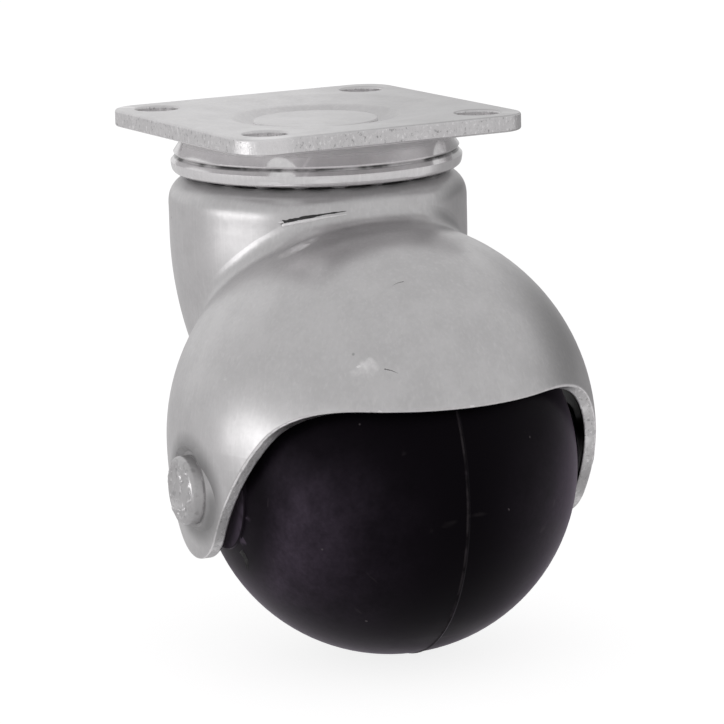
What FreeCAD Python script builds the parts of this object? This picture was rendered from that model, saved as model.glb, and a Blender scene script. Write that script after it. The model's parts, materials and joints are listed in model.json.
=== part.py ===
import FreeCAD, Part
import math
import os

from FreeCAD import Vector

# Ball castor with a pressed hood, in millimetres and degrees.
# The origin is the centre of the mounting face, on the swivel axis, and the castor hangs below it.
# The hood is drawn with its axle along X and its ball towards -Y, then turned to its rest angle.

# Ball wheel
ball_diameter = 50.0
boss_diameter = 16.6
boss_edge_round = 0.25
boss_root_round = 0.2
parting_ridge_height = 0.12
parting_ridge_width = 0.5

# Axle
axle_diameter = 7.0
axle_end_diameter = 5.5
axle_head_diameter = 8.9
axle_head_height = 1.8
axle_head_round = 0.45
axle_tail_height = 0.5
axle_tail_round = 0.25

# Hood pressing
trail = 22.0
swivel_rest_angle = -5.6
hood_wall = 1.75
dome_clearance = 1.75
dome_rise = 4.1
dome_setback = 2.25
dome_drop = 4.1
cheek_arc_radius = 55.0
shoulder_radius = 3.4
crown_land = 0.9
turret_wall_height = 4.4
turret_belly_radius = 50.0
crease_radius = 3.0
rim_height = 12.1
rim_slope = 4.6
rim_corner_radius = 8.9
rim_edge_round = 0.35
ear_drop = 10.0
ear_setback = 3.3
ear_tip_radius = 9.2
ear_flank_angle = 57.3
ear_seat_diameter = 10.0
ear_seat_depth = 0.36
ear_seat_slope = 52.0

# Top plate
plate_side = 43.0
plate_thickness = 2.3
plate_corner_radius = 4.5
plate_edge_round = 0.35
hole_diameter = 6.0
hole_edge_distance = 5.5
hole_edge_round = 0.4
dish_depth = 2.2
dish_margin = 1.1
dish_bend_radius = 1.2
apron_diameter = 34.0
apron_depth = 0.7
apron_bend_radius = 8.0

# Kingpin
kingpin_diameter = 9.0
kingpin_head_diameter = 17.0
kingpin_head_height = 1.1
kingpin_head_gap = 0.5
kingpin_head_round = 0.25
kingpin_tail_diameter = 13.0
kingpin_tail_height = 1.8
kingpin_tail_round = 0.9

# Swivel bearing
race_pitch_diameter = 32.0
upper_ball_diameter = 4.76
lower_pitch_diameter = 19.0
lower_ball_diameter = 3.97
ball_spacing = 0.25
race_depth = 0.3
cup_thickness = 1.4
cup_flare = 2.2
cup_bead_rise = 1.2
cup_bead_inset = 0.4
cup_groove_rise = 0.75
cup_groove_depth = 0.3
cup_lip_drop = 1.57
cup_lip_round = 0.8
lower_race_thickness = 1.6
lower_race_lip = 0.55
lower_race_round = 0.8

# Clearances
bearing_play = 0.05
axle_play = 0.08
rivet_fit = 0.02
nesting_gap = 0.03
boss_clearance = 0.3
shoulder_margin = 0.5
crown_hole_clearance = 1.5

# How far a cutting form reaches past what it cuts, and how close counts as touching
overcut = 2.0
touching = 1e-4

# Radii
ball_r = ball_diameter / 2
boss_r = boss_diameter / 2
axle_r = axle_diameter / 2
axle_end_r = axle_end_diameter / 2
axle_head_r = axle_head_diameter / 2
upper_ball_r = upper_ball_diameter / 2
lower_ball_r = lower_ball_diameter / 2
race_pitch_r = race_pitch_diameter / 2
lower_pitch_r = lower_pitch_diameter / 2
kingpin_r = kingpin_diameter / 2
kingpin_hole_r = kingpin_r + rivet_fit
upper_race_r = upper_ball_r + bearing_play
lower_race_r = lower_ball_r + bearing_play
dome_r = ball_r + dome_clearance + hood_wall
shoulder_start_r = race_pitch_r + crown_land
turret_r = shoulder_start_r + shoulder_radius

# Heights down the swivel axis, from the mounting face
plate_under = -plate_thickness
dish_floor = -dish_depth
dish_under = dish_floor - plate_thickness
kingpin_top = dish_floor + kingpin_head_height
flange_under = plate_under - cup_thickness
cup_floor_under = dish_under - cup_thickness
upper_ball_z = flange_under - upper_race_r
crown_top = upper_ball_z - upper_race_r + race_depth
crown_under = crown_top - hood_wall
lower_ball_z = crown_under + race_depth - lower_race_r
lower_race_top = lower_ball_z - lower_race_r + race_depth
lower_race_under = lower_race_top - lower_race_thickness
kingpin_bottom = lower_race_under - kingpin_tail_height
shoulder_z = crown_top - shoulder_radius
belly_z = shoulder_z - turret_wall_height
dome_z = crown_top - dome_drop - dome_r
axle_z = dome_z - dome_rise
turret_bottom = dome_z + overcut
skirt_bottom = axle_z - ear_drop - overcut

# Places along the trail
axle_y = -trail
dome_y = dome_setback - trail
dome_front = dome_r - dome_setback


def wall_distance(inset, forward, up):
    """How far out the hood's cheek lies at an inset, at a point forward of the axle and above it."""
    arc_r = cheek_arc_radius - inset
    cheek_r = dome_r - cheek_arc_radius + math.sqrt(arc_r ** 2 - (dome_rise - up) ** 2)
    return math.sqrt(cheek_r ** 2 - (forward + dome_setback) ** 2)


def wall_near_boss(angle):
    """The inner wall's distance at the edge of the hub boss, at an angle down from straight ahead."""
    turn = math.radians(angle)
    return wall_distance(hood_wall, boss_r * math.cos(turn), -boss_r * math.sin(turn))


# Distances along the axle, from the middle of the ball
ear_outside = wall_distance(0, 0, 0) - ear_seat_depth
ear_inside = ear_outside - hood_wall
boss_end = min(ear_inside, *map(wall_near_boss, range(91))) - boss_clearance
axle_head_end = ear_outside + axle_head_height
axle_tail_end = ear_outside + axle_tail_height

ORIGIN = Vector(0, 0, 0)
AXIS_X = Vector(1, 0, 0)
AXIS_Y = Vector(0, 1, 0)
AXIS_Z = Vector(0, 0, 1)
AXLE_CENTRE = Vector(0, axle_y, axle_z)
DOME_CENTRE = Vector(0, dome_y, dome_z)


def section(radius, z, centre_y=0.0):
    """A point of a half section about an upright axis, drawn on the side away from the ball."""
    return Vector(0, centre_y + radius, z)


def axle_section(x, radius):
    """A point of a half section about the axle."""
    return Vector(x, axle_y, axle_z + radius)


def lines(*points):
    """Straight edges through a row of points."""
    return [Part.makeLine(first, last) for first, last in zip(points, points[1:])]


def arc(first, middle, last):
    """A circular edge through three points."""
    return Part.Arc(first, middle, last).toShape()


def on_circle(centre, radius, angle):
    """A point on a circle in a half section, at an angle up from straight out."""
    turn = math.radians(angle)
    return centre + Vector(0, radius * math.cos(turn), radius * math.sin(turn))


def lathe(edges, centre=ORIGIN, axis=AXIS_Z):
    """Turn a closed half section into a solid."""
    return Part.Face(Part.Wire(edges)).revolve(centre, axis, 360)


def axis_cylinder(radius, z_low, z_high, x=0.0, y=0.0):
    """An upright round bar."""
    return Part.makeCylinder(radius, z_high - z_low, Vector(x, y, z_low), AXIS_Z)


def axle_cylinder(radius, reach):
    """A round bar about the axle, reaching as far to either side of the ball's middle."""
    return Part.makeCylinder(radius, 2 * reach, AXLE_CENTRE - AXIS_X * reach, AXIS_X)


def edges_where(shape, passes):
    """The edges whose sample points all pass a test."""
    samples = 5
    return [edge for edge in shape.Edges if all(passes(point) for point in edge.discretize(samples))]


def ring_edges(shape, radius, z):
    """The circles of one radius and height about the swivel axis."""
    def passes(point):
        return abs(math.hypot(point.x, point.y) - radius) < touching and abs(point.z - z) < touching
    return edges_where(shape, passes)


def axle_ring_edges(shape, radius, *places):
    """The circles of one radius about the axle, at some places along it."""
    def passes(point):
        from_axle = math.hypot(point.y - axle_y, point.z - axle_z)
        return abs(from_axle - radius) < touching and min(abs(point.x - x) for x in places) < touching
    return edges_where(shape, passes)


def dish_slope(sink, z):
    """The radius at one height of the dish's slope, sunk square to itself by the sheet above."""
    top_r = race_pitch_r - upper_ball_r - dish_margin
    floor_r = kingpin_head_diameter / 2 + kingpin_head_gap
    run = top_r - floor_r
    length = math.hypot(run, dish_depth)
    return top_r + (z * run + sink * length) / dish_depth


def top_plate():
    """Square plate with four holes and a pressed dish for the kingpin's head, with a shallow apron round it."""
    half = plate_side / 2
    plate = Part.makeBox(plate_side, plate_side, plate_thickness, Vector(-half, -half, plate_under))
    uprights = edges_where(plate, lambda point: abs(abs(point.x * point.y) - half ** 2) < touching)
    plate = plate.makeFillet(plate_corner_radius, uprights)
    outline = edges_where(plate, lambda point: point.z > -touching or point.z < plate_under + touching)
    plate = plate.makeFillet(plate_edge_round, outline)

    boss = lathe(lines(
        section(0, plate_under),
        section(dish_slope(plate_thickness, plate_under), plate_under),
        section(dish_slope(plate_thickness, dish_under), dish_under),
        section(0, dish_under),
        section(0, plate_under),
    ))
    apron_r = apron_diameter / 2
    dish_r = dish_slope(0, -apron_depth)
    dish_floor_r = dish_slope(0, dish_floor)
    apron_slope = math.atan2(apron_depth, apron_r - dish_r)
    bend_reach = apron_bend_radius * math.tan(apron_slope / 2)
    bend_centre = section(apron_r + bend_reach, -apron_bend_radius)
    bend_start = on_circle(bend_centre, apron_bend_radius, 90)
    bend_middle = on_circle(bend_centre, apron_bend_radius, 90 + math.degrees(apron_slope) / 2)
    bend_end = on_circle(bend_centre, apron_bend_radius, 90 + math.degrees(apron_slope))
    edges = lines(
        bend_end,
        section(dish_r, -apron_depth),
        section(dish_floor_r, dish_floor),
        section(0, dish_floor),
        section(0, overcut),
        section(apron_r + bend_reach, overcut),
        bend_start,
    )
    hollow = lathe(edges + [arc(bend_start, bend_middle, bend_end)])
    plate = plate.fuse(boss).cut(hollow)
    plate = plate.makeFillet(dish_bend_radius, ring_edges(plate, dish_r, -apron_depth))
    plate = plate.makeFillet(dish_bend_radius, ring_edges(plate, dish_floor_r, dish_floor))
    plate = plate.cut(axis_cylinder(kingpin_hole_r, dish_under - overcut, overcut))

    place = half - hole_edge_distance
    hole_r = hole_diameter / 2
    for x in (-place, place):
        for y in (-place, place):
            plate = plate.cut(axis_cylinder(hole_r, plate_under - overcut, overcut, x, y))

    def on_hole_rim(point):
        from_hole = math.hypot(abs(point.x) - place, abs(point.y) - place)
        return abs(from_hole - hole_r) < touching and min(abs(point.z), abs(point.z - plate_under)) < touching
    return plate.makeFillet(hole_edge_round, edges_where(plate, on_hole_rim)).removeSplitter()


def kingpin():
    """Rivet on the swivel axis: flat head in the dish, peened tail under the lower race."""
    head_r = kingpin_head_diameter / 2
    tail_r = kingpin_tail_diameter / 2
    pin = lathe(lines(
        section(0, kingpin_top),
        section(head_r, kingpin_top),
        section(head_r, dish_floor),
        section(kingpin_r, dish_floor),
        section(kingpin_r, lower_race_under),
        section(tail_r, lower_race_under),
        section(tail_r, kingpin_bottom),
        section(0, kingpin_bottom),
        section(0, kingpin_top),
    ))
    pin = pin.makeFillet(kingpin_head_round, ring_edges(pin, head_r, kingpin_top))
    return pin.makeFillet(kingpin_tail_round, ring_edges(pin, tail_r, kingpin_bottom))


def race_cup():
    """Pressed cup that nests under the plate, with a bead round it and a lip that keeps the balls in."""
    ball_centre = section(race_pitch_r, upper_ball_z)
    bulge_r = upper_race_r + cup_thickness
    widest = race_pitch_r + bulge_r
    lip_z = upper_ball_z - cup_lip_drop
    lip_outer_r = race_pitch_r + math.sqrt(bulge_r ** 2 - cup_lip_drop ** 2)
    lip_inner_r = race_pitch_r + math.sqrt(upper_race_r ** 2 - cup_lip_drop ** 2)
    top_sink = plate_thickness + nesting_gap
    under_sink = top_sink + cup_thickness
    bulge_angle = math.degrees(math.asin(cup_lip_drop / bulge_r))
    race_middle_angle = 45

    bead = section(widest - cup_bead_inset, upper_ball_z + cup_bead_rise)
    groove = section(widest - cup_bead_inset - cup_groove_depth, upper_ball_z + cup_groove_rise)
    bulge = section(widest, upper_ball_z)
    lip_outside = section(lip_outer_r, lip_z)
    lip_inside = section(lip_inner_r, lip_z)
    race_top = section(race_pitch_r, flange_under)
    hole_under = section(kingpin_hole_r, cup_floor_under)

    edges = lines(
        hole_under,
        section(kingpin_hole_r, dish_under),
        section(dish_slope(top_sink, dish_under), dish_under),
        section(dish_slope(top_sink, plate_under), plate_under),
        section(widest - cup_flare, plate_under),
        bead,
        groove,
        bulge,
    )
    edges.append(arc(bulge, on_circle(ball_centre, bulge_r, -bulge_angle / 2), lip_outside))
    edges += lines(lip_outside, lip_inside)
    edges.append(arc(lip_inside, on_circle(ball_centre, upper_race_r, race_middle_angle), race_top))
    edges += lines(
        race_top,
        section(dish_slope(under_sink, flange_under), flange_under),
        section(dish_slope(under_sink, cup_floor_under), cup_floor_under),
        hole_under,
    )
    cup = lathe(edges)
    return cup.makeFillet(cup_lip_round, ring_edges(cup, lip_outer_r, lip_z))


def lower_race():
    """Cup washer on the kingpin's lower end, with a groove for the lower balls."""
    ball_centre = section(lower_pitch_r, lower_ball_z)
    groove_half_width = math.sqrt(lower_race_r ** 2 - (lower_ball_z - lower_race_top) ** 2)
    wall_inner_r = lower_pitch_r + lower_race_r
    wall_outer_r = wall_inner_r + lower_race_thickness
    wall_top = lower_ball_z + lower_race_lip
    straight_down = -90

    groove_start = section(lower_pitch_r - groove_half_width, lower_race_top)
    groove_end = section(wall_inner_r, lower_ball_z)
    edges = lines(
        section(kingpin_hole_r, lower_race_under),
        section(kingpin_hole_r, lower_race_top),
        groove_start,
    )
    edges.append(arc(groove_start, on_circle(ball_centre, lower_race_r, straight_down), groove_end))
    edges += lines(
        groove_end,
        section(wall_inner_r, wall_top),
        section(wall_outer_r, wall_top),
        section(wall_outer_r, lower_race_under),
        section(kingpin_hole_r, lower_race_under),
    )
    washer = lathe(edges)
    return washer.makeFillet(lower_race_round, ring_edges(washer, wall_outer_r, lower_race_under))


def bearing_balls(pitch_r, radius, z):
    """A full ring of balls, as many as the pitch circle has room for."""
    count = int(2 * math.pi * pitch_r / (2 * radius + ball_spacing))
    balls = []
    for index in range(count):
        turn = 2 * math.pi * index / count
        centre = Vector(pitch_r * math.cos(turn), pitch_r * math.sin(turn), z)
        balls.append(Part.makeSphere(radius, centre))
    return balls


def turret(inset, bottom):
    """The round neck under the crown, as its outer form or as the space at an inset inside it."""
    shoulder_centre = section(shoulder_start_r, shoulder_z)
    belly_centre = section(turret_r - turret_belly_radius, belly_z)
    shoulder_r = shoulder_radius - inset
    belly_r = turret_belly_radius - inset
    belly_angle = -math.degrees(math.asin((belly_z - bottom) / belly_r))

    crown_edge = on_circle(shoulder_centre, shoulder_r, 90)
    shoulder_foot = on_circle(shoulder_centre, shoulder_r, 0)
    belly_top = on_circle(belly_centre, belly_r, 0)
    foot = on_circle(belly_centre, belly_r, belly_angle)
    outline = Part.Wire([
        arc(crown_edge, on_circle(shoulder_centre, shoulder_r, 45), shoulder_foot),
        Part.makeLine(shoulder_foot, belly_top),
        arc(belly_top, on_circle(belly_centre, belly_r, belly_angle / 2), foot),
    ])
    smooth = Part.BSplineCurve()
    smooth.approximate(outline.discretize(120), Tolerance=0.01)
    crown_edge = smooth.StartPoint
    foot = smooth.EndPoint
    edges = lines(foot, section(0, foot.z), section(0, crown_edge.z), crown_edge)
    return lathe(edges + [smooth.toShape()])


def slab(z_low, z_high):
    """A block wider than the hood, between two heights."""
    reach = dome_r + trail + turret_r
    return Part.makeBox(2 * reach, 2 * reach, z_high - z_low, Vector(-reach, -reach, z_low))


def bowl(inset):
    """The upper half of the dome, a hemisphere with its seam kept out of sight below."""
    ball = Part.makeSphere(dome_r - inset, DOME_CENTRE, -AXIS_Y)
    return ball.common(slab(dome_z, crown_top + overcut))


def cheeks(inset, bottom):
    """The dome below its widest part, where its sides curve in more gently."""
    radius = cheek_arc_radius - inset
    centre = section(dome_r - cheek_arc_radius, dome_z, dome_y)
    foot_angle = -math.degrees(math.asin((dome_z - bottom) / radius))
    widest = on_circle(centre, radius, 0)
    foot = on_circle(centre, radius, foot_angle)
    edges = [arc(widest, on_circle(centre, radius, foot_angle / 2), foot)]
    edges += lines(foot, section(0, foot.z, dome_y), DOME_CENTRE, widest)
    return lathe(edges, DOME_CENTRE)


def hood_form(inset, extra):
    """Turret and dome run together with a soft crease, as the outer form or the space inside it."""
    foot = skirt_bottom - extra
    dome = bowl(inset)
    upper = turret(inset, turret_bottom).fuse(dome).common(slab(turret_bottom, crown_top + overcut))

    def on_dome(point):
        return abs(point.distanceToPoint(DOME_CENTRE) - dome_r + inset) < touching
    crease = [edge for edge in edges_where(upper, on_dome) if edge.CenterOfMass.z > turret_bottom + touching]
    upper = upper.makeFillet(crease_radius + inset, crease)
    lower = dome.fuse(cheeks(inset, foot)).common(slab(foot, turret_bottom))
    return upper.fuse(lower)


def ear_cones(face_x, depth):
    """Two cones on the axle that widen outwards over a depth, or inwards over a negative one."""
    seat_r = ear_seat_diameter / 2
    mouth_r = seat_r + abs(depth) * math.tan(math.radians(ear_seat_slope))
    heading = math.copysign(1, depth)
    cones = []
    for out in (AXIS_X, -AXIS_X):
        seat_centre = AXLE_CENTRE + out * face_x
        cones.append(Part.makeCone(seat_r, mouth_r, abs(depth), seat_centre, out * heading))
    return cones


def ear_seats(face_x):
    """The dimples that seat the axle's heads, cut in to one distance from the middle."""
    return ear_cones(face_x, dome_r + overcut - face_x)


def ear_pads(face_x):
    """The coined pads that bring the ears out to the heads where the cheeks curve away."""
    return ear_cones(face_x, -hood_wall)


def side_point(forward, up):
    """A point of the hood's side view, forward of the axle and above it."""
    return AXLE_CENTRE + Vector(0, -forward, up)


def bend(before, corner, after, radius):
    """Start, middle and end of the arc that rounds a corner between two straight runs."""
    back = (before - corner).normalize()
    ahead = (after - corner).normalize()
    half_turn = (math.pi - back.getAngle(ahead)) / 2
    run = radius * math.tan(half_turn)
    middle = (back + ahead).normalize() * (radius / math.cos(half_turn) - radius)
    return [corner + back * run, corner + middle, corner + ahead * run]


def rim_outline():
    """The hood's lower edge in side view, from the front rim round the ear to the back rim."""
    flank = math.radians(ear_flank_angle)
    flank_rise = math.tan(flank)
    foot_run = ear_tip_radius * math.sin(flank)
    foot_up = ear_tip_radius * (1 - math.cos(flank)) - ear_drop
    reach = dome_r + trail + turret_r

    def rim_up(outward, fall):
        return rim_height + (dome_front - outward) * fall

    def half(side, fall):
        foot_outward = foot_run - side * ear_setback
        corner_outward = (rim_up(0, fall) - foot_up + foot_outward * flank_rise) / (flank_rise + fall)
        foot = side_point(side * foot_outward, foot_up)
        corner = side_point(side * corner_outward, rim_up(corner_outward, fall))
        end = side_point(side * reach, rim_up(reach, fall))
        rounded = bend(end, corner, foot, rim_corner_radius)
        return [Part.makeLine(end, rounded[0]), arc(*rounded), Part.makeLine(rounded[2], foot)]
    tip = arc(
        side_point(foot_run - ear_setback, foot_up),
        side_point(-ear_setback, -ear_drop),
        side_point(-foot_run - ear_setback, foot_up),
    )
    level = 0
    return half(1, math.tan(math.radians(rim_slope))) + [tip] + half(-1, level)[::-1]


def rim_block(outline):
    """All that lies above the hood's lower edge, as a block right across the hood."""
    front = outline[0].Vertexes[0].Point
    back = outline[-1].Vertexes[0].Point
    top = crown_top + overcut
    roof = lines(back, Vector(0, back.y, top), Vector(0, front.y, top), front)
    half_width = dome_r + overcut
    side_view = Part.Face(Part.Wire(outline + roof))
    side_view.translate(Vector(-half_width, 0, 0))
    return side_view.extrude(Vector(2 * half_width, 0, 0))


def hood():
    """The pressing: one shell of turret and dome with two ears for the axle."""
    outline = rim_outline()
    outer = hood_form(0, 0).fuse(ear_pads(ear_outside)).cut(ear_seats(ear_outside))
    inner = hood_form(hood_wall, overcut).cut(ear_seats(ear_inside))
    shell = outer.cut(inner).common(rim_block(outline))

    side_view = Part.Wire(outline)

    def on_rim(point):
        return side_view.distToShape(Part.Vertex(0, point.y, point.z))[0] < touching

    def runs_along(edge):
        first, last = edge.discretize(2)
        return math.hypot(first.y - last.y, first.z - last.z) > touching
    rim = [edge for edge in edges_where(shell, on_rim) if runs_along(edge)]
    shell = shell.makeFillet(rim_edge_round, rim)

    races = [
        Part.makeTorus(race_pitch_r, upper_race_r, Vector(0, 0, upper_ball_z), AXIS_Z),
        Part.makeTorus(lower_pitch_r, lower_race_r, Vector(0, 0, lower_ball_z), AXIS_Z),
    ]
    crown_hole = axis_cylinder(kingpin_r + crown_hole_clearance, crown_under - overcut, crown_top + overcut)
    axle_hole = axle_cylinder(axle_end_r + rivet_fit, dome_r + overcut)
    shoulder_seats = axle_cylinder(axle_r + shoulder_margin, ear_inside)
    return shell.cut(races + [crown_hole, axle_hole, shoulder_seats])


def axle():
    """Shouldered pin with a peened head outside the left ear and a low one outside the right ear."""
    def half(side, end):
        steps = [
            (end, 0),
            (end, axle_head_r),
            (ear_outside, axle_head_r),
            (ear_outside, axle_end_r),
            (ear_inside, axle_end_r),
            (ear_inside, axle_r),
        ]
        return [axle_section(side * x, radius) for x, radius in steps]
    points = half(-1, axle_head_end) + half(1, axle_tail_end)[::-1]
    pin = lathe(lines(*points, points[0]), AXLE_CENTRE, AXIS_X)
    pin = pin.makeFillet(axle_head_round, axle_ring_edges(pin, axle_head_r, -axle_head_end))
    return pin.makeFillet(axle_tail_round, axle_ring_edges(pin, axle_head_r, axle_tail_end))


def ball_wheel():
    """Moulded ball with a bore, a hub boss on each side and a ridge where the mould parts."""
    root_x = math.sqrt(ball_r ** 2 - boss_r ** 2)
    ridge_x = parting_ridge_width / 2
    ridge_r = math.sqrt(ball_r ** 2 - ridge_x ** 2)
    bore_r = axle_r + axle_play
    flank_angle = math.radians(45)
    flank = (ball_r * math.cos(flank_angle), ball_r * math.sin(flank_angle))
    ridge = axle_section(0, ball_r + parting_ridge_height)

    def half(side):
        edges = lines(
            axle_section(0, bore_r),
            axle_section(side * boss_end, bore_r),
            axle_section(side * boss_end, boss_r),
            axle_section(side * root_x, boss_r),
        )
        edges.append(arc(
            axle_section(side * root_x, boss_r),
            axle_section(side * flank[0], flank[1]),
            axle_section(side * ridge_x, ridge_r),
        ))
        return edges + lines(axle_section(side * ridge_x, ridge_r), ridge)
    ball = lathe(half(-1) + half(1)[::-1], AXLE_CENTRE, AXIS_X).removeSplitter()
    third = (boss_end - root_x) / 3
    edge_round = min(boss_edge_round, third)
    root_round = min(boss_root_round, third)
    ball = ball.makeFillet(edge_round, axle_ring_edges(ball, boss_r, -boss_end, boss_end))
    return ball.makeFillet(root_round, axle_ring_edges(ball, boss_r, -root_x, root_x))


def at_rest(shape):
    """Turn a piece of the swivelling half to its rest angle."""
    turned = shape.copy()
    turned.rotate(ORIGIN, AXIS_Z, swivel_rest_angle)
    return turned


def numbered(name, shapes):
    """A name for each of a row of like pieces."""
    return {f"{name}_{index:02d}": shape for index, shape in enumerate(shapes, start=1)}


pieces = {
    "top_plate": top_plate(),
    "kingpin": kingpin(),
    "race_cup": race_cup(),
    "lower_race": lower_race(),
    "hood": at_rest(hood()),
    "axle": at_rest(axle()),
    "ball_wheel": at_rest(ball_wheel()),
}
pieces.update(numbered("upper_bearing_ball", bearing_balls(race_pitch_r, upper_ball_r, upper_ball_z)))
pieces.update(numbered("lower_bearing_ball", bearing_balls(lower_pitch_r, lower_ball_r, lower_ball_z)))

os.makedirs("parts", exist_ok=True)
for name, shape in pieces.items():
    shape.exportStep(f"parts/{name}.step")
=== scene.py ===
import json
import math
from collections import namedtuple

import bmesh
import bpy
from mathutils import Matrix, Vector, noise
from mathutils.bvhtree import BVHTree

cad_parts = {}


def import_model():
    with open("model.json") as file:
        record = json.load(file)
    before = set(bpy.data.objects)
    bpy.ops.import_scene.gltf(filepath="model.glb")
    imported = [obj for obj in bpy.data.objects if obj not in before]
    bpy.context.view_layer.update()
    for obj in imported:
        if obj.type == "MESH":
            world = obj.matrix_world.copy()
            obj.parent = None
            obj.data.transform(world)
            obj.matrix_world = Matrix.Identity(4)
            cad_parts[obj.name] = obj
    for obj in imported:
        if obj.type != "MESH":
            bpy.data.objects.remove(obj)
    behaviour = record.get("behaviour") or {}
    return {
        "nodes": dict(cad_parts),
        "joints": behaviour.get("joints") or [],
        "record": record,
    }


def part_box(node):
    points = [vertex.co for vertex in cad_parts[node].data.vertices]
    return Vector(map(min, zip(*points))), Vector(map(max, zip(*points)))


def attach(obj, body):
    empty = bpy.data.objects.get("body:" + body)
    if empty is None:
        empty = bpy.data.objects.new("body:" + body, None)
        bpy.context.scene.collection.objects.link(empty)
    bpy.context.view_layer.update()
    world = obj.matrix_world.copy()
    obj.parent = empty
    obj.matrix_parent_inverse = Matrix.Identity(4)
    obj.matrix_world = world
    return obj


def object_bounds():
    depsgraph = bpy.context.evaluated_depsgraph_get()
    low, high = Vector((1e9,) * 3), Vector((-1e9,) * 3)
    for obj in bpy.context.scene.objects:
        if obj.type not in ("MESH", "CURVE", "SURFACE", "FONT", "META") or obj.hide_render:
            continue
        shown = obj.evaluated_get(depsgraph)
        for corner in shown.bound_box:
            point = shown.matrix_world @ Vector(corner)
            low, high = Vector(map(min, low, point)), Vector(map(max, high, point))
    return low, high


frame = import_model()
cad_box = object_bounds()
nodes = frame["nodes"]
joints = {joint["name"]: joint for joint in frame["joints"]}
scene = bpy.context.scene

MM = 0.001
UP = Vector((0, 0, 1))
LEVEL = Vector((1, 1, 0))
WHITE = (1.0, 1.0, 1.0, 1.0)

# The photo's view: its picture's side in pixels, degrees, metres and millimetres of lens
PICTURE_SIDE = 724
VIEW_AZIMUTH = -28.78
VIEW_ELEVATION = 11.37
VIEW_ROLL = -1.47
VIEW_DISTANCE = 0.51065
VIEW_TARGET = Vector((0.004786, -0.002629, -0.03499))
LENS = 184.8
SENSOR = 36.0

# The axle's line, from the joint that the ball rolls on
AXLE_CENTRE = Vector(joints["ball_roll"]["pos_m"])
AXLE_AXIS = Vector(joints["ball_roll"]["axis"]).normalized()
BALL_RADIUS = AXLE_CENTRE.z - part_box("ball_wheel")[0].z


def direction(azimuth, elevation):
    """A unit vector: azimuth from the front towards +X, elevation above the horizon."""
    turn = math.radians(azimuth)
    rise = math.radians(elevation)
    return Vector((math.sin(turn) * math.cos(rise), -math.cos(turn) * math.cos(rise), math.sin(rise)))


def view_frame():
    """The camera's place: across, up, back and where it stands."""
    back = direction(VIEW_AZIMUTH, VIEW_ELEVATION)
    aim = back.to_track_quat("Z", "Y").to_matrix()
    roll = Matrix.Rotation(math.radians(VIEW_ROLL), 3, "Z")
    return Matrix.Translation(VIEW_TARGET + back * VIEW_DISTANCE) @ (aim @ roll).to_4x4()


def surface(node):
    """A node's surface, for finding places on it."""
    mesh = nodes[node].data
    places = [vertex.co for vertex in mesh.vertices]
    return BVHTree.FromPolygons(places, [face.vertices for face in mesh.polygons])


def photo_point(skin, pixel):
    """The place and normal on a surface that a pixel of the photo shows."""
    stand = view_frame()
    reach = SENSOR / LENS / PICTURE_SIDE
    middle = (PICTURE_SIDE - 1) / 2
    ray = stand.to_3x3() @ Vector(((pixel[0] - middle) * reach, (middle - pixel[1]) * reach, -1))
    place, normal, _, _ = skin.ray_cast(stand.translation, ray.normalized())
    return place, normal


hood_skin = surface("hood")
ball_skin = surface("ball_wheel")
plate_skin = surface("top_plate")

# Low marks that the press left on the hood: their pixel in the photo, one that they point to, and sizes
Mark = namedtuple("Mark", "pixel toward half_length half_width height")
PRESS_MARKS = {
    "press_mark_crest": Mark((297, 247), (318, 237), 3.6 * MM, 1.7 * MM, 0.2 * MM),
    "press_mark_front": Mark((366, 367), (390, 361), 2.3 * MM, 1.5 * MM, 0.26 * MM),
    "press_mark_cheek": Mark((224, 377), (232, 377), 0.8 * MM, 0.7 * MM, 0.05 * MM),
    "fold_knot": Mark((281, 222), (290, 222), 0.5 * MM, 0.35 * MM, 0.2 * MM),
}
# Marks that also get a painted highlight
HIGHLIGHTED_MARKS = ("press_mark_crest", "press_mark_front", "fold_knot")


def mark_frame(mark):
    """A mark's centre, its normal, and the ways along and across it."""
    centre, normal = photo_point(hood_skin, mark.pixel)
    along = photo_point(hood_skin, mark.toward)[0] - centre
    along = (along - normal * along.dot(normal)).normalized()
    return centre, normal, along, normal.cross(along)


# How soft a speck's border is, as a share of its size, and how sharply specks are chosen
SPECK_SOFTNESS = 1.8
SPECK_CHOICE = 0.05


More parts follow.
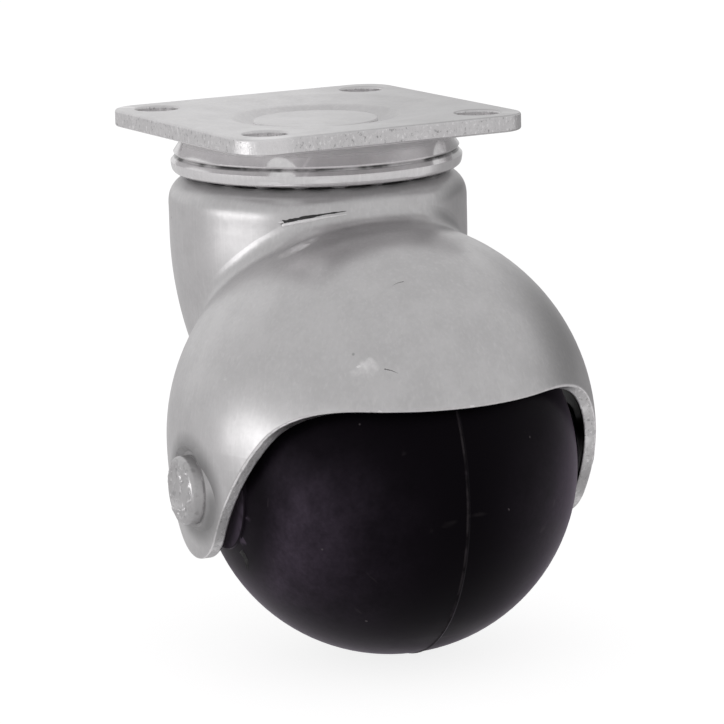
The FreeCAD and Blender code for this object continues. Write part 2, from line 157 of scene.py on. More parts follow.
class Graph:
    """A node tree whose nodes are added and wired in one call each."""

    def __init__(self, tree):
        self.tree = tree
        tree.nodes.clear()

    def feed(self, socket, value):
        """Wires a socket, or sets it to a constant."""
        if isinstance(value, bpy.types.NodeSocket):
            self.tree.links.new(value, socket)
        else:
            socket.default_value = value

    def add(self, kind, settings=None, **inputs):
        """A node by its short type name, with its settings and inputs, where _ in a name is a space."""
        node = self.tree.nodes.new("ShaderNode" + kind)
        for key, value in (settings or {}).items():
            setattr(node, key, value)
        for key, value in inputs.items():
            self.feed(node.inputs[key.replace("_", " ")], value)
        return node

    def math(self, operation, *values):
        """A Math node's result."""
        node = self.add("Math", {"operation": operation})
        for socket, value in zip(node.inputs, values):
            self.feed(socket, value)
        return node.outputs[0]

    def product(self, first, *others):
        """Values multiplied together."""
        for other in others:
            first = self.math("MULTIPLY", first, other)
        return first

    def vector(self, operation, *values):
        """A Vector Math node, wired."""
        node = self.add("VectorMath", {"operation": operation})
        for socket, value in zip(node.inputs, values):
            self.feed(socket, value)
        return node.outputs

    def offset(self, place, origin):
        """The way from an origin to a place."""
        return self.vector("SUBTRACT", place, origin)["Vector"]

    def length(self, way):
        """How long a vector is."""
        return self.vector("LENGTH", way)["Value"]

    def dot(self, first, second):
        """How far one vector reaches along another."""
        return self.vector("DOT_PRODUCT", first, second)["Value"]

    def off_line(self, way, axis):
        """How far the end of a way is from the line through its start along an axis."""
        return self.length(self.vector("CROSS_PRODUCT", way, axis)["Vector"])

    def fade(self, value, start, end, low=0.0, high=1.0):
        """A smooth step from low to high while a value goes from start to end."""
        node = self.add("MapRange", {"interpolation_type": "SMOOTHSTEP"})
        for socket, given in zip(node.inputs, (value, start, end, low, high)):
            self.feed(socket, given)
        return node.outputs["Result"]

    def mix(self, factor, first, second):
        """One colour fading into another."""
        node = self.add("Mix", {"data_type": "RGBA"})
        factor_socket = node.inputs[0]
        first_socket, second_socket = [socket for socket in node.inputs if socket.type == "RGBA"]
        self.feed(factor_socket, factor)
        self.feed(first_socket, first)
        self.feed(second_socket, second)
        return [socket for socket in node.outputs if socket.type == "RGBA"][0]

    def noise(self, place, scale, detail=3.0, roughness=0.5):
        """Soft noise from 0 to 1, with so many features a metre."""
        node = self.add("TexNoise", Vector=place, Scale=scale, Detail=detail, Roughness=roughness)
        return node.outputs["Fac"]

    def stretched(self, place, scale, turn=(0.0, 0.0, 0.0)):
        """Places turned and scaled by axis, so that noise there runs out into streaks."""
        node = self.add("Mapping", Vector=place, Rotation=turn, Scale=scale)
        return node.outputs["Vector"]

    def specks(self, place, scale, size, rarity_scale, rarity):
        """Small dots at some of the cells of a loose grid."""
        near = self.add("TexVoronoi", Vector=place, Scale=scale).outputs["Distance"]
        dots = self.fade(near, size, size * SPECK_SOFTNESS, 1.0, 0.0)
        chosen = self.fade(self.noise(place, rarity_scale, 1.0), rarity, rarity + SPECK_CHOICE)
        return self.product(dots, chosen)

    def bump(self, height, distance, strength=1.0, under=None):
        """A normal from a height, over another normal if one is given."""
        node = self.add("Bump", Height=height, Distance=distance, Strength=strength)
        if under is not None:
            self.feed(node.inputs["Normal"], under)
        return node.outputs["Normal"]

    def edges(self, start, end):
        """1 on sharp bends that stand out and 0 on open faces, between two measures of sharpness."""
        return self.fade(self.add("NewGeometry").outputs["Pointiness"], start, end)


def material(name):
    """A new material with its graph and the coordinates that its textures read."""
    made = bpy.data.materials.new(name)
    made.use_nodes = True
    graph = Graph(made.node_tree)
    return made, graph, graph.add("TexCoord").outputs


def close(graph, **inputs):
    """The surface shader and the output that end a material."""
    shader = graph.add("BsdfPrincipled", **inputs)
    graph.add("OutputMaterial", Surface=shader.outputs["BSDF"])


ZINC_TINT = (1.01, 0.992, 1.002)


def grey(level):
    """The faintly warm grey of zinc at one level."""
    return tuple(level * share for share in ZINC_TINT) + (1.0,)


# In all finishes, a pattern is its features a metre, detail and roughness. A fade is where it starts and
# ends, and its low and high value where they aren't 0 and 1. A bump is its height and strength. Dark and
# pale are shares of the finish's own level.

# Zinc plating
CLOUDS = (190.0, 4.0, 0.6)
PATCHES = (75.0, 2.0)
GRAIN = (1700.0, 3.0, 0.6)
STREAK_STRETCH = (2400.0, 2400.0, 90.0)
STREAKS = (1.0, 2.0)
ZINC_SPECKS = (260.0, 0.04, 120.0, 0.6)
CLOUD_SHARE = 0.65
GRAIN_SHARE = 0.35
TONE_FADE = (0.34, 0.66)
TONE_DARK = 0.95
TONE_PALE = 1.05
STREAK_FADE = (0.5, 0.78, 0.0, 0.35)
STREAK_PALE = 1.2
SPECK_SHARE = 0.7
SPECK_DARK = 0.45
# A painted highlight on sharp edges: the pointiness it fades in over, and how pale it gets
SHARP_EDGE_FADE = (0.51, 0.56)
SHARP_EDGE_PALE = 1.4
SHARP_EDGE_PALEST = 0.92
SHINE_FADE = (0.3, 0.7)
ROUGHER = 1.12
SMOOTHER = 0.92
PATCH_BUMP = (0.07 * MM, 0.5)
STREAK_BUMP = (0.008 * MM, 0.6)
GRAIN_BUMP = (0.006 * MM, 0.6)


def zinc(name, level, roughness, streak_turn, *extras):
    """Satin zinc plating: cloudy and grained, with polishing streaks, a few dark specks and a painted
    highlight on sharp edges.

    Each extra then changes the look where it applies.
    """
    made, graph, coordinates = material(name)
    place = coordinates["Object"]
    clouds = graph.noise(place, *CLOUDS)
    patches = graph.noise(place, *PATCHES)
    grain = graph.noise(place, *GRAIN)
    streaks = graph.noise(graph.stretched(place, STREAK_STRETCH, streak_turn), *STREAKS)
    specks = graph.specks(place, *ZINC_SPECKS)

    tone = graph.math("ADD", graph.product(clouds, CLOUD_SHARE), graph.product(grain, GRAIN_SHARE))
    colour = graph.mix(graph.fade(tone, *TONE_FADE), grey(level * TONE_DARK), grey(level * TONE_PALE))
    colour = graph.mix(graph.fade(streaks, *STREAK_FADE), colour, grey(level * STREAK_PALE))
    colour = graph.mix(graph.product(specks, SPECK_SHARE), colour, grey(level * SPECK_DARK))
    colour = graph.mix(graph.edges(*SHARP_EDGE_FADE), colour, grey(min(SHARP_EDGE_PALEST, level * SHARP_EDGE_PALE)))
    normal = graph.bump(patches, *PATCH_BUMP)
    normal = graph.bump(streaks, *STREAK_BUMP, normal)
    look = {
        "Base_Color": colour,
        "Metallic": 1.0,
        "Roughness": graph.fade(tone, *SHINE_FADE, roughness * ROUGHER, roughness * SMOOTHER),
        "Normal": graph.bump(grain, *GRAIN_BUMP, normal),
    }
    for extra in extras:
        extra(graph, coordinates, level, look)
    close(graph, **look)
    return made


# Sheared metal, and how nearly level a face is where its wall begins
TORN_STRETCH = (1900.0, 1900.0, 1300.0)
TORN = (1.0, 4.0, 0.75)
PIT_FADE = (0.42, 0.34, 0.0, 0.75)
PIT_DARK = 0.45
GLINT_FADE = (0.56, 0.64, 0.0, 0.85)
GLINT_PALE = 1.5
GLINT_PALEST = 0.95
TORN_BUMP = (0.09 * MM, 0.9)
WALL_FADE = (0.6, 0.3)
# The pale of painted highlights: the plate's corner and the hood's burr and marks
BRIGHT = grey(0.97)


def tint(graph, look, where, colour):
    """Another colour where a mask says so."""
    look["Base_Color"] = graph.mix(where, look["Base_Color"], colour)


def torn_metal(graph, place, level, look, where):
    """Sheared metal where a mask says so: coarse, pitted and glinting."""
    torn = graph.noise(graph.stretched(place, TORN_STRETCH), *TORN)
    tint(graph, look, graph.product(graph.fade(torn, *PIT_FADE), where), grey(level * PIT_DARK))
    glint = grey(min(GLINT_PALEST, level * GLINT_PALE))
    tint(graph, look, graph.product(graph.fade(torn, *GLINT_FADE), where), glint)
    look["Normal"] = graph.bump(graph.product(torn, where), *TORN_BUMP, look["Normal"])


# Zones of the plate: how squarely its top faces up, the way to the photo's right, where the top gets painted
# shade, and a corner with a painted highlight, as bright as in the photo
TOP_FADE = (0.5, 0.8)
RIGHT_OF_PHOTO = VIEW_AZIMUTH + 90
PLATE_SHADED_WAY = direction(RIGHT_OF_PHOTO, 0)
PLATE_SHADED_WAY_FADE = (-8 * MM, 18 * MM, 0.0, 0.6)
PLATE_SHADE_DARK = 0.55
BRIGHT_PIXEL = (270, 148)
BRIGHT_CORNER = photo_point(plate_skin, BRIGHT_PIXEL)[0]
BRIGHT_CORNER_FADE = (4.5 * MM, 1.5 * MM, 0.0, 0.7)


def plate_zones(graph, coordinates, level, look):
    """Sheared walls, painted shade on the top towards one side, and a painted highlight on one corner."""
    place = coordinates["Object"]
    upward = graph.dot(coordinates["Normal"], UP)
    torn_metal(graph, place, level, look, graph.fade(graph.math("ABSOLUTE", upward), *WALL_FADE))
    sideways = graph.fade(graph.dot(place, PLATE_SHADED_WAY), *PLATE_SHADED_WAY_FADE)
    tint(graph, look, graph.product(sideways, graph.fade(upward, *TOP_FADE)), grey(level * PLATE_SHADE_DARK))
    from_corner = graph.length(graph.offset(place, BRIGHT_CORNER))
    tint(graph, look, graph.fade(from_corner, *BRIGHT_CORNER_FADE), BRIGHT)


# Blows all over the axle's heads, with painted shade in their dips
BLOWS = (800.0, 2.0, 0.5)
BLOW_BUMP = (0.05 * MM, 0.6)
BLOW_SHADE_FADE = (0.45, 0.3, 0.0, 0.45)
BLOW_SHADE_DARK = 0.5


def hammered(graph, coordinates, level, look):
    """A surface that is lumpy from blows all over, painted darker in their dips as shade."""
    blows = graph.noise(coordinates["Object"], *BLOWS)
    look["Normal"] = graph.bump(blows, *BLOW_BUMP, look["Normal"])
    tint(graph, look, graph.fade(blows, *BLOW_SHADE_FADE), grey(level * BLOW_SHADE_DARK))


# Zones of the hood: its dome's centre from the axle, its cut rim, and how faces turn from that centre
DOME_RISE = 4.1 * MM
DOME_SHIFT = 2.25 * MM
DOME_CENTRE = AXLE_CENTRE + UP * DOME_RISE + UP.cross(AXLE_AXIS) * DOME_SHIFT
RIM_TOP = AXLE_CENTRE.z + 13 * MM
RIM_FADE = (RIM_TOP, RIM_TOP - 2 * MM)
CUT_FADE = (0.75, 0.55)
# The rim's bend, where the burr gets a painted highlight
BEND_START = (0.94, 0.86)
BEND_END = (0.5, 0.65)
# Painted shade inside the hood, where faces turn towards the dome's centre
INSIDE_SHADE_FADE = (-0.3, -0.6)
INSIDE_SHADE_DARK = 0.05
RAGS = (1200.0, 2.0)
RAG_FADE = (0.35, 0.5, 0.3, 1.0)
BURR_ROUGHNESS = 0.5
# Painted shade round the axle's heads, by distance from the axle, where the hood is also less metallic
HEAD_SHADE_FADE = (8.2 * MM, 5.4 * MM, 0.0, 0.65)
HEAD_SHADE_DARK = 0.35
# The crown, by height: painted shade under the cup, and grease
CROWN_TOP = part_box("hood")[1].z
CROWN_SHADE_FADE = (CROWN_TOP - 1.8 * MM, CROWN_TOP - 0.6 * MM, 0.0, 0.3)
CROWN_SHADE_DARK = 0.35
CROWN_GREASE_FADE = (CROWN_TOP - 1.3 * MM, CROWN_TOP - 0.3 * MM, 1.0, 0.2)
# Painted highlights over some of the press marks, bright and grainy, by distance from a mark's centre as a
# share of its size
HIGHLIGHT_GRAIN = (2100.0, 3.0, 0.7)
HIGHLIGHT_GRAIN_FADE = (0.25, 0.5, 0.35, 1.0)
HIGHLIGHT_BREAKS = (700.0, 3.0)
HIGHLIGHT_BREAK_FADE = (0.3, 0.7, 0.0, 0.6)
HIGHLIGHT_FADE = (1.1, 0.0, 0.0, 0.9)
HIGHLIGHT_ROUGHNESS = 0.62
HIGHLIGHT_DULLNESS = 0.5


def mark_highlights(graph, place):
    """A painted highlight, bright and grainy, over some of the press marks."""
    breaks = graph.fade(graph.noise(place, *HIGHLIGHT_BREAKS), *HIGHLIGHT_BREAK_FADE)
    total = 0.0
    for name in HIGHLIGHTED_MARKS:
        mark = PRESS_MARKS[name]
        centre, _, along, across = mark_frame(mark)
        offset = graph.offset(place, centre)
        spread = breaks
        for way in (along / mark.half_length, across / mark.half_width):
            share = graph.dot(offset, way)
            spread = graph.math("ADD", spread, graph.product(share, share))
        total = graph.math("ADD", total, graph.fade(spread, *HIGHLIGHT_FADE))
    return graph.product(total, graph.fade(graph.noise(place, *HIGHLIGHT_GRAIN), *HIGHLIGHT_GRAIN_FADE))


def hood_zones(graph, coordinates, level, look):
    """Sheared rim; painted highlights on burr and marks; painted shade by the heads, inside, on the crown."""
    place = coordinates["Object"]
    height = graph.dot(place, UP)
    outward = graph.vector("NORMALIZE", graph.offset(place, DOME_CENTRE))["Vector"]
    facing = graph.dot(coordinates["Normal"], outward)
    near_rim = graph.fade(height, *RIM_FADE)
    cut = graph.product(graph.fade(graph.math("ABSOLUTE", facing), *CUT_FADE), near_rim)
    torn_metal(graph, place, level, look, cut)
    on_bend = graph.product(graph.fade(facing, *BEND_START), graph.fade(facing, *BEND_END))
    burr = graph.product(on_bend, near_rim, graph.fade(graph.noise(place, *RAGS), *RAG_FADE))
    highlighted = mark_highlights(graph, place)
    for where, roughness in ((burr, BURR_ROUGHNESS), (highlighted, HIGHLIGHT_ROUGHNESS)):
        tint(graph, look, where, BRIGHT)
        look["Roughness"] = graph.fade(where, 0.0, 1.0, look["Roughness"], roughness)
    around_head = graph.fade(graph.off_line(graph.offset(place, AXLE_CENTRE), AXLE_AXIS), *HEAD_SHADE_FADE)
    tint(graph, look, around_head, grey(level * HEAD_SHADE_DARK))
    tint(graph, look, graph.fade(facing, *INSIDE_SHADE_FADE), grey(level * INSIDE_SHADE_DARK))
    tint(graph, look, graph.fade(height, *CROWN_SHADE_FADE), grey(level * CROWN_SHADE_DARK))
    dulled = graph.math("ADD", around_head, graph.product(highlighted, HIGHLIGHT_DULLNESS))
    look["Metallic"] = graph.math("SUBTRACT", graph.fade(height, *CROWN_GREASE_FADE), dulled)


# Zones of the race cup: grease, by distance from the swivel's axis, and painted shade in its groove, by
# height
GREASE_RADIUS = 18.3 * MM
GREASE_FADE = (GREASE_RADIUS, GREASE_RADIUS + 0.5 * MM, 0.2, 1.0)
GROOVE_HEIGHT = -5.4 * MM
GROOVE_SHADE_FADE = (0.34 * MM, 0.12 * MM)
GROOVE_SHADE_DARK = 0.2
DASHES = (260.0, 3.0)
DASH_FADE = (0.4, 0.6, 0.35, 1.0)


def cup_zones(graph, coordinates, level, look):
    """Grease on the race, where the cup's wall is close to the axis, and dashes of painted shade in its
    groove.
    """
    place = coordinates["Object"]
    away = graph.length(graph.vector("MULTIPLY", place, LEVEL)["Vector"])
    look["Metallic"] = graph.fade(away, *GREASE_FADE)
    off_groove = graph.math("ABSOLUTE", graph.math("SUBTRACT", graph.dot(place, UP), GROOVE_HEIGHT))
    dashes = graph.fade(graph.noise(place, *DASHES), *DASH_FADE)
    tint(graph, look, graph.product(graph.fade(off_groove, *GROOVE_SHADE_FADE), dashes), grey(level * GROOVE_SHADE_DARK))


# Bearing steel under its film of grease
FILM = (700.0, 3.0)
FILM_FADE = (0.4, 0.65)
FILM_ROUGHNESS_FADE = (0.35, 0.7, 0.22, 0.45)
STEEL_BARE = grey(0.7)
STEEL_GREASED = grey(0.5)
STEEL_METALLIC = 0.3


def bearing_steel():
    """Bright steel under a film of pale grease."""
    made, graph, coordinates = material("bearing_steel")
    film = graph.noise(coordinates["Object"], *FILM)
    colour = graph.mix(graph.fade(film, *FILM_FADE), STEEL_BARE, STEEL_GREASED)
    rough = graph.fade(film, *FILM_ROUGHNESS_FADE)
    close(graph, Base_Color=colour, Metallic=STEEL_METALLIC, Roughness=rough)
    return made


# Ball finish: the clean tread, the dusty haze towards its hubs, dust and the painted highlight on its parting
# line, and the tint and strength of its shine
RUBBER = (0.0009, 0.0006, 0.001, 1.0)
RUBBER_HAZE = (0.095, 0.074, 0.104, 1.0)
RUBBER_DUST_AND_HIGHLIGHT = (0.16, 0.14, 0.15, 1.0)
RUBBER_SHINE = (0.93, 0.78, 1.0, 1.0)
RUBBER_SPECULAR = 0.06
RUBBER_SHEEN = 0.4
RUBBER_SHEEN_ROUGHNESS = 0.3
RUBBER_CLOUDS = (90.0, 5.0, 0.65)
RUBBER_ROUGHNESS_FADE = (0.3, 0.7, 0.34, 0.48)
RUBBER_GRAIN = (1500.0, 3.0, 0.6)
RUBBER_BUMP = (0.008 * MM, 0.5)
RUBBER_EDGE_FADE = (0.51, 0.55)
RUBBER_SPECKS = (330.0, 0.05, 210.0, 0.55)
HAIR_STRETCH = (60.0, 900.0, 300.0)
HAIR_TURN = (0.6, 0.4, 1.1)
HAIRS = (1.0, 2.0)
HAIR_FADE = (0.7, 0.78, 0.0, 0.12)
# The haze, by nearness to a hub, height over the axle and distance from it, cut back as painted shade up
# under the hood and beside a hub's boss
HAZE_POWER = 2.4
HAZE_CLOUD_FADE = (0.25, 0.68, 0.3, 1.3)
HAZE_GRAIN_FADE = (0.25, 0.75, 0.85, 1.15)
HAZE_SHADE_HEIGHT_FADE = (10 * MM, -3 * MM, 0.12, 1.15)
HAZE_SHADE_BOSS_FADE = (10.5 * MM, 16 * MM, 0.1, 1.1)
# How far to the left of the ball's middle its parting line catches the light, and how wide and broken that is
SEAM_LIT = 0.16 * MM
SEAM_FADE = (0.18 * MM, 0.05 * MM)
SEAM_BREAKS = (420.0, 3.0)
SEAM_BREAK_FADE = (0.35, 0.6, 0.04, 0.24)


def haze(graph, from_middle, sideways, clouds, grain):
    """Dust towards the hubs and underside, kept low by painted shade under the hood and by a hub's boss."""
    hubward = graph.math("DIVIDE", graph.math("ABSOLUTE", sideways), BALL_RADIUS)
    return graph.product(
        graph.math("POWER", hubward, HAZE_POWER),
        graph.fade(clouds, *HAZE_CLOUD_FADE),
        graph.fade(grain, *HAZE_GRAIN_FADE),
        graph.fade(graph.dot(from_middle, UP), *HAZE_SHADE_HEIGHT_FADE),
        graph.fade(graph.off_line(from_middle, AXLE_AXIS), *HAZE_SHADE_BOSS_FADE),
    )


def black_rubber():
    """Near-black moulded ball with a faint violet cast, dusty haze towards its hubs and a few pale specks."""
    made, graph, coordinates = material("black_rubber")
    place = coordinates["Object"]
    from_middle = graph.offset(place, AXLE_CENTRE)
    sideways = graph.dot(from_middle, AXLE_AXIS)
    clouds = graph.noise(place, *RUBBER_CLOUDS)
    grain = graph.noise(place, *RUBBER_GRAIN)
    hairs = graph.noise(graph.stretched(place, HAIR_STRETCH, HAIR_TURN), *HAIRS)
    off_seam = graph.math("ABSOLUTE", graph.math("ADD", sideways, SEAM_LIT))
    breaks = graph.fade(graph.noise(place, *SEAM_BREAKS), *SEAM_BREAK_FADE)
    colour = graph.mix(haze(graph, from_middle, sideways, clouds, grain), RUBBER, RUBBER_HAZE)
    colour = graph.mix(graph.edges(*RUBBER_EDGE_FADE), colour, RUBBER_HAZE)
    colour = graph.mix(graph.fade(hairs, *HAIR_FADE), colour, RUBBER_DUST_AND_HIGHLIGHT)
    colour = graph.mix(graph.specks(place, *RUBBER_SPECKS), colour, RUBBER_DUST_AND_HIGHLIGHT)
    colour = graph.mix(graph.product(graph.fade(off_seam, *SEAM_FADE), breaks), colour, RUBBER_DUST_AND_HIGHLIGHT)
    close(
        graph,
        Base_Color=colour,
        Roughness=graph.fade(clouds, *RUBBER_ROUGHNESS_FADE),
        Specular_IOR_Level=RUBBER_SPECULAR,
        Specular_Tint=RUBBER_SHINE,
        Sheen_Weight=RUBBER_SHEEN,
        Sheen_Roughness=RUBBER_SHEEN_ROUGHNESS,
        Sheen_Tint=RUBBER_SHINE,
        Normal=graph.bump(grain, *RUBBER_BUMP),
    )
    return made


# Dull finishes
MOTTLE = (900.0, 3.0)
MATTE_ROUGHNESS = 0.7
MATTE_SPECULAR = 0.1


def matte(name, dark, pale):
    """A dull finish that is mottled between two levels."""
    made, graph, coordinates = material(name)
    mottle = graph.noise(coordinates["Object"], *MOTTLE)
    colour = graph.mix(mottle, grey(dark), grey(pale))
    close(graph, Base_Color=colour, Roughness=MATTE_ROUGHNESS, Specular_IOR_Level=MATTE_SPECULAR)
    return made


# Zinc finishes: level, roughness, the turn of the streaks, and zones. Dull finishes: darkest and palest level
ZINC_FINISHES = {
    "zinc_plate": (0.72, 0.3, (0.0, 1.57, 0.4), plate_zones),
    "zinc_cup": (0.83, 0.15, (0.2, 0.1, 0.0), cup_zones),
    "zinc_hood": (0.62, 0.33, (0.25, 0.35, 0.0), hood_zones),
    # zinc_burr, paler than the hood, is the painted highlight on the fold's lip
    "zinc_burr": (0.9, 0.45, (0.25, 0.35, 0.0)),
    "zinc_rivet": (0.54, 0.32, (0.9, 0.2, 0.1), hammered),
}
DULL_FINISHES = {
    # dark_seam is painted shade, in the fold and in the ball's nick
    "dark_seam": (0.006, 0.14),
    "grime": (0.08, 0.3),
    # rubber_burr is the painted highlight on the nick's lip
    "rubber_burr": (0.02, 0.16),
}
OTHER_FINISH = {"race_cup": "zinc_cup", "kingpin": "zinc_plate"}

materials = {"bearing_steel": bearing_steel(), "black_rubber": black_rubber()}
for finish, recipe in ZINC_FINISHES.items():
    materials[finish] = zinc(finish, *recipe)
for finish, recipe in DULL_FINISHES.items():
    materials[finish] = matte(finish, *recipe)
for row in frame["record"]["subparts"]:
    part = nodes[row["node"]]
    finish = OTHER_FINISH.get(row["node"], row["material_slot"])
    part.data.materials.clear()
    part.data.materials.append(materials[finish])


def new_piece(name, shape, body, finish):
    """A finished bmesh as a smooth piece that rides on a body, in a finish that belongs to a slot."""
    bmesh.ops.recalc_face_normals(shape, faces=shape.faces)
    mesh = bpy.data.meshes.new(name)
    shape.to_mesh(mesh)
    shape.free()
    mesh.materials.append(materials[finish])
    for face in mesh.polygons:
        face.use_smooth = True
    piece = bpy.data.objects.new(name, mesh)
    scene.collection.objects.link(piece)
    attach(piece, body)


def grid_faces(shape, rows, closed=False):
    """Quads between neighbouring rows of points, round to the start again if closed."""
    for row, following in zip(rows, rows[1:]):
        last = len(row) if closed else len(row) - 1
        for place in range(last):
            after = (place + 1) % len(row)
            shape.faces.new((row[place], following[place], following[after], row[after]))


def disc_shape(point, ring_count, spoke_count):
    """A disc of rings about a middle, where point gives a place for a share of the way out and an angle."""
    shape = bmesh.new()
    middle = shape.verts.new(point(0, 0))
    angles = [2 * math.pi * spoke / spoke_count for spoke in range(spoke_count)]
    rings = [
        [shape.verts.new(point(ring / ring_count, angle)) for angle in angles]
        for ring in range(1, ring_count + 1)
    ]
    grid_faces(shape, rings, closed=True)
    first = rings[0]
    for spoke in range(spoke_count):
        shape.faces.new((middle, first[spoke], first[(spoke + 1) % spoke_count]))
    return shape


# The hammered face of the axle's left head, a thin cap over the plain head
CAP_STAND = 0.06 * MM
CAP_SKIRT = 1.7 * MM
CAP_ROUND = 0.7 * MM
CAP_RINGS = 60
CAP_SPOKES = 160
# Its dents, which fade out at the edge, with finer ones over them and a hollow under them
DENT_DEPTH = 0.42 * MM
DENT_SIZE = 1.4 * MM
DENT_EDGE_POWER = 5
FINE_DENTS = 0.5
FINE_DENT_SCALE = 2.4
HOLLOW = 0.4
# Its raised lip: height, place and width as shares of the radius, and how its height varies round it
LIP_RISE = 0.2 * MM
LIP_PLACE = 0.8
LIP_WIDTH = 0.08
LIP_MEAN = 0.6
LIP_SWING = 0.8
LIP_WAVES = 3
LIP_SEED = 3


def axle_head():
    """The left head's radius and how far out its face is."""
    out = -AXLE_AXIS
    points = [vertex.co - AXLE_CENTRE for vertex in nodes["axle"].data.vertices]
    end = max(point.dot(out) for point in points)
    radius = max((point - out * point.dot(out)).length for point in points)
    return radius, end


def cap_profile(run, outer):
    """Radius and height of the cap's section, at a run from its middle out and back to its skirt."""
    face_run = outer - CAP_ROUND
    bend_run = CAP_ROUND * math.pi / 2
    if run < face_run:
        return run, CAP_STAND
    if run < face_run + bend_run:
        turn = (run - face_run) / CAP_ROUND
        return face_run + CAP_ROUND * math.sin(turn), CAP_STAND - CAP_ROUND * (1 - math.cos(turn))
    return outer, CAP_STAND - CAP_ROUND - (run - face_run - bend_run)


def hammer_blows(radius, angle, outer):
    """How far the blows have moved the face: lumps in the middle and a raised lip near the edge."""
    share = radius / outer
    point = Vector((radius * math.cos(angle), radius * math.sin(angle), 0)) / DENT_SIZE
    lumps = noise.noise(point) + FINE_DENTS * noise.noise(point * FINE_DENT_SCALE)
    lip = math.exp(-((share - LIP_PLACE) / LIP_WIDTH) ** 2)
    around = Vector((math.cos(angle), math.sin(angle), LIP_SEED)) * LIP_WAVES
    ragged = LIP_MEAN + LIP_SWING * noise.noise(around)
    dents = DENT_DEPTH * lumps * max(0.0, 1 - share ** DENT_EDGE_POWER)
    return dents + LIP_RISE * lip * ragged - DENT_DEPTH * (1 - share ** 2) * HOLLOW


def axle_head_face():
    """The peened face as a lathe of rings, each point moved by the blows."""
    radius, end = axle_head()
    outer = radius + CAP_STAND
    out = -AXLE_AXIS
    side = UP.cross(out)
    centre = AXLE_CENTRE + out * end
    total = outer - CAP_ROUND + CAP_ROUND * math.pi / 2 + CAP_SKIRT - CAP_ROUND

    def point(share, angle):
        ring_radius, height = cap_profile(total * share, outer)
        spread = ring_radius * (side * math.cos(angle) + UP * math.sin(angle))
        return centre + spread + out * (height + hammer_blows(ring_radius, angle, outer))

    shape = disc_shape(point, CAP_RINGS, CAP_SPOKES)
    new_piece("axle_head_face", shape, "swivel", "zinc_rivet")


# Marks on a surface: how far above it a probe starts, how deep a mark's border lies under it, and how finely
# marks are divided
PROBE = 3 * MM
SUNK = 0.03 * MM
MARK_RINGS = 16
MARK_SPOKES = 48
LINE_STEPS = 12
LINE_SECTIONS = 8
# How much a line's width varies, and how quickly along it
LINE_RAGGED = 0.5
LINE_RAGGED_PACE = 0.4

# Lines in the photo, as pixels from their wide end to their thin end
FOLD = [(281, 222), (300, 218), (325, 213.5), (350, 210)]
NICK = [(241, 550), (246, 558), (248, 572)]
SCRATCH_HIGH = [(403, 281), (397, 282.5), (391, 285.5)]
SCRATCH_LOW = [(384, 368.5), (391, 370), (399, 373.5)]
# What wears a line: its surface, body and slot
ON_HOOD = (hood_skin, "swivel", "zinc_hood")
ON_BALL = (ball_skin, "wheel", "black_rubber")
Line = namedtuple("Line", "wearer pixels offset half_width height finish")
LINES = {
    # The fold's dark inside is painted shade, and its paler lip a painted highlight
    "fold_inside": Line(ON_HOOD, FOLD, 0, 0.32 * MM, 0.05 * MM, "dark_seam"),
    "fold_lip": Line(ON_HOOD, FOLD, 0.42 * MM, 0.3 * MM, 0.1 * MM, "zinc_burr"),
    # The nick's dark is painted shade in its slit, and its paler lip a painted highlight
    "moulding_nick": Line(ON_BALL, NICK, 0, 0.42 * MM, 0.2 * MM, "dark_seam"),
    "moulding_nick_lip": Line(ON_BALL, NICK, 0.4 * MM, 0.2 * MM, 0.15 * MM, "rubber_burr"),
    "scratch_high": Line(ON_HOOD, SCRATCH_HIGH, 0, 0.08 * MM, 0.03 * MM, "grime"),
    "scratch_low": Line(ON_HOOD, SCRATCH_LOW, 0, 0.1 * MM, 0.03 * MM, "grime"),
}


def laid_on(skin, place, normal, height):
    """A point moved along a normal onto a surface, and then off it by a height."""
    found = skin.ray_cast(place + normal * PROBE, -normal)[0]
    return found + normal * height


def swelling(name, mark):
    """A low smooth lump that the press left on the hood."""
    centre, normal, along, across = mark_frame(mark)

    def point(share, angle):
        spread = along * mark.half_length * math.cos(angle) + across * mark.half_width * math.sin(angle)
        rise = mark.height * (1 - share ** 2) ** 2 - SUNK * share ** 2
        return laid_on(hood_skin, centre + spread * share, normal, rise)

    shape = disc_shape(point, MARK_RINGS, MARK_SPOKES)
    new_piece(name, shape, "swivel", "zinc_hood")


def line_points(skin, pixels):
    """Places and normals on a surface, in even steps along a line of pixels."""
    points = []
    for first, second in zip(pixels, pixels[1:]):
        for step in range(LINE_STEPS):
            share = step / LINE_STEPS
            points.append(photo_point(skin, [a + (b - a) * share for a, b in zip(first, second)]))
    return points


def ribbon(skin, line):
    """A narrow raised ribbon along a line, tapering to nothing at its far end."""
    points = line_points(skin, line.pixels)
    shape = bmesh.new()
    rows = []
    for index, (place, normal) in enumerate(points[:-1]):
        along = (points[index + 1][0] - place).normalized()
        across = along.cross(normal)
        wander = noise.noise(Vector((index * LINE_RAGGED_PACE, line.half_width / MM, 0)))
        taper = (1 + LINE_RAGGED * wander) * math.sqrt(1 - index / (len(points) - 1))
        row = []
        for section in range(LINE_SECTIONS + 1):
            share = 2 * section / LINE_SECTIONS - 1
            spread = across * (line.offset + line.half_width * share * taper)
            rise = line.height * taper * (1 - share ** 2) - SUNK * share ** 2
            row.append(shape.verts.new(laid_on(skin, place + spread, normal, rise)))
        rows.append(row)
    grid_faces(shape, rows)
    return shape


axle_head_face()
for name, line in LINES.items():
    skin, body, slot = line.wearer
    new_piece(name, ribbon(skin, line), body, line.finish)
for name, mark in PRESS_MARKS.items():
    swelling(name, mark)

# Stage: a white floor under the ball and a soft pale room
FLOOR_RADIUS = 6.0
FLOOR_SPOKES = 96
FLOOR_GLOW = 0.84
FLOOR_COLOUR = grey(0.35)
FLOOR_MIRRORED = 0.5
AMBIENT = 0.6
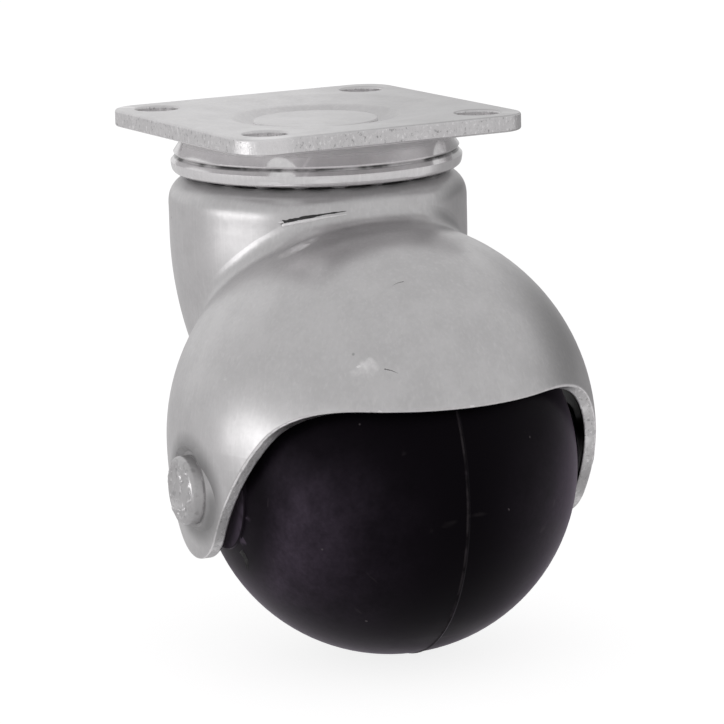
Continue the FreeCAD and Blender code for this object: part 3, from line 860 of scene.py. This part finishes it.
# What mirrors see: a pale room, a brighter backdrop behind, and a greyer side at the right
ROOM_LEVEL = 0.67
BACKDROP_LEVEL = 0.8
BACKDROP_SIDE = direction(170, 25)
BACKDROP_FADE = (0.55, 0.9, ROOM_LEVEL, BACKDROP_LEVEL)
SHADE_SIDE = direction(106, -8)
SHADE_FADE = (0.75, 0.95, 1.0, 0.35)
# The key lamp at the left, in metres
KEY_SIDE = direction(-91, 0)
KEY_DISTANCE = 0.45
KEY_WIDTH = 0.35
KEY_HEIGHT = 0.13
KEY_RADIANCE = 1.8


def light_path(graph):
    """1 for camera rays, and 1 for camera, mirror and see-through rays, which all show the background."""
    path = graph.add("LightPath").outputs
    reflected = graph.math("ADD", path["Is Glossy Ray"], path["Is Transmission Ray"])
    seen = graph.math("MINIMUM", graph.math("ADD", reflected, path["Is Camera Ray"]), 1.0)
    return path["Is Camera Ray"], seen


def shaded_side(graph, toward):
    """How much of the room's light comes from a direction: less from the right."""
    return graph.fade(graph.dot(toward, SHADE_SIDE), *SHADE_FADE)


def floor():
    """A large pale disc that the ball stands on."""
    shape = bmesh.new()
    bmesh.ops.create_circle(shape, cap_ends=True, segments=FLOOR_SPOKES, radius=FLOOR_RADIUS)
    mesh = bpy.data.meshes.new("floor")
    shape.to_mesh(mesh)
    shape.free()
    made, graph, coordinates = material("floor_white")
    direct, seen = light_path(graph)
    outward = graph.vector("NORMALIZE", coordinates["Object"])["Vector"]
    mirrored = graph.product(shaded_side(graph, outward), FLOOR_MIRRORED)
    level = graph.math("MAXIMUM", mirrored, direct)
    matte_floor = graph.add("BsdfDiffuse", Color=FLOOR_COLOUR)
    glow = graph.add("Emission", Strength=graph.product(seen, level, FLOOR_GLOW))
    both = graph.add("AddShader")
    graph.feed(both.inputs[0], matte_floor.outputs[0])
    graph.feed(both.inputs[1], glow.outputs[0])
    graph.add("OutputMaterial", Surface=both.outputs[0])
    mesh.materials.append(made)
    disc = bpy.data.objects.new("floor", mesh)
    disc.location.z = cad_box[0].z
    scene.collection.objects.link(disc)


def world():
    """White to the eye. Mirrors see the backdrop, the room and its greyer side."""
    room = bpy.data.worlds.new("studio")
    room.use_nodes = True
    graph = Graph(room.node_tree)
    direct, seen = light_path(graph)
    toward = graph.add("TexCoord").outputs["Generated"]
    open_room = graph.fade(graph.dot(toward, BACKDROP_SIDE), *BACKDROP_FADE)
    level = graph.math("MAXIMUM", graph.product(open_room, shaded_side(graph, toward)), direct)
    strength = graph.fade(seen, 0.0, 1.0, AMBIENT, level)
    back = graph.add("Background", Color=WHITE, Strength=strength)
    graph.add("OutputWorld", Surface=back.outputs[0])
    scene.world = room


def key_lamp():
    """A soft rectangular lamp at the left that only its light and reflections show."""
    lamp = bpy.data.lights.new("key_left", "AREA")
    lamp.shape = "RECTANGLE"
    lamp.size = KEY_WIDTH
    lamp.size_y = KEY_HEIGHT
    lamp.energy = KEY_RADIANCE * math.pi * KEY_WIDTH * KEY_HEIGHT
    stand = bpy.data.objects.new("key_left", lamp)
    stand.location = VIEW_TARGET + KEY_SIDE * KEY_DISTANCE
    stand.rotation_euler = KEY_SIDE.to_track_quat("Z", "Y").to_euler()
    stand.visible_camera = False
    scene.collection.objects.link(stand)


def camera():
    """The photo's camera, aimed at its target and rolled a little."""
    eye = bpy.data.cameras.new("camera")
    eye.lens = LENS
    eye.sensor_width = SENSOR
    stand = bpy.data.objects.new("camera", eye)
    stand.matrix_world = view_frame()
    scene.collection.objects.link(stand)
    scene.camera = stand


floor()
world()
key_lamp()
camera()
scene.view_settings.view_transform = "Standard"
